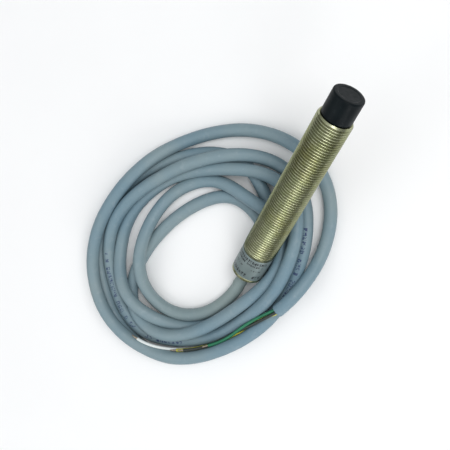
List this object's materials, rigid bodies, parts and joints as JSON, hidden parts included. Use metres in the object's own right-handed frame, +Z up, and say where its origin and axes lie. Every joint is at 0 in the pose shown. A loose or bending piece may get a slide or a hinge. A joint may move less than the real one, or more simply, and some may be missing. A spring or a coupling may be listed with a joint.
{
  "type": "inductive proximity sensor",
  "caption": "Cylindrical threaded-barrel inductive proximity sensor with a protruding plastic sensing face, foil label and attached cable lying in a loose coil with stripped cores.",
  "frame": {"origin": "middle of the sensor's footprint on the surface it lies on, without its cable", "axes": "+Z up; +X the horizontal direction in which the sensing face looks; the barrel rises 25.6 degrees along +X"},
  "size_m": [0.1253, 0.08, 0.0442],
  "materials": {
    "nickel_brass": "nickel plated, satin",
    "label_foil": "printed foil",
    "black_plastic": "fine satin",
    "seal_rubber": "matt",
    "ferrite": "sintered",
    "nylon": "natural",
    "copper_wire": "enamelled",
    "sleeve_plastic": "plain",
    "board": "solder resist",
    "chip_epoxy": "moulded",
    "tantalum": "moulded",
    "ceramic": "fired",
    "solder": "bright",
    "core_white": "plain",
    "core_yellow": "plain",
    "core_black": "plain",
    "core_green": "plain",
    "resin": "cast",
    "cable_pvc": "extruded, satin",
    "tinned_copper": "stranded"
  },
  "bodies": {
    "root": {"threaded_barrel": "nickel_brass", "rating_label": "label_foil", "sensing_cap": "black_plastic", "cap_seal_ring": "seal_rubber", "ferrite_pot_core": "ferrite", "coil_bobbin": "nylon", "sensing_coil": "copper_wire", "coil_lead_1": "copper_wire", "coil_lead_2": "copper_wire", "core_carrier": "nylon", "insulating_sleeve": "sleeve_plastic", "circuit_board": "board", "oscillator_ic": "chip_epoxy", "output_driver_ic": "chip_epoxy", "output_transistor": "chip_epoxy", "voltage_regulator": "chip_epoxy", "tantalum_capacitor": "tantalum", "suppressor_diode": "chip_epoxy", "ceramic_capacitor_1": "ceramic", "ceramic_capacitor_2": "ceramic", "ceramic_capacitor_3": "ceramic", "chip_resistor_1": "chip_epoxy", "chip_resistor_2": "chip_epoxy", "chip_resistor_3": "chip_epoxy", "chip_resistor_4": "chip_epoxy", "solder_joint_white": "solder", "solder_joint_yellow": "solder", "solder_joint_black": "solder", "solder_joint_green": "solder", "inner_core_white": "core_white", "inner_core_yellow": "core_yellow", "inner_core_black": "core_black", "inner_core_green": "core_green", "potting_plug": "resin", "rear_end_cap": "black_plastic", "cable_clamp_ring": "nickel_brass", "strain_relief": "cable_pvc", "cable_exit": "cable_pvc", "cable_coil": "cable_pvc", "cable_end": "cable_pvc", "free_core_white": "core_white", "free_core_yellow": "core_yellow", "free_core_black": "core_black", "free_core_green": "core_green", "core_tip_white": "tinned_copper", "core_tip_yellow": "tinned_copper", "core_tip_black": "tinned_copper", "core_tip_green": "tinned_copper"}
  },
  "joints": []
}
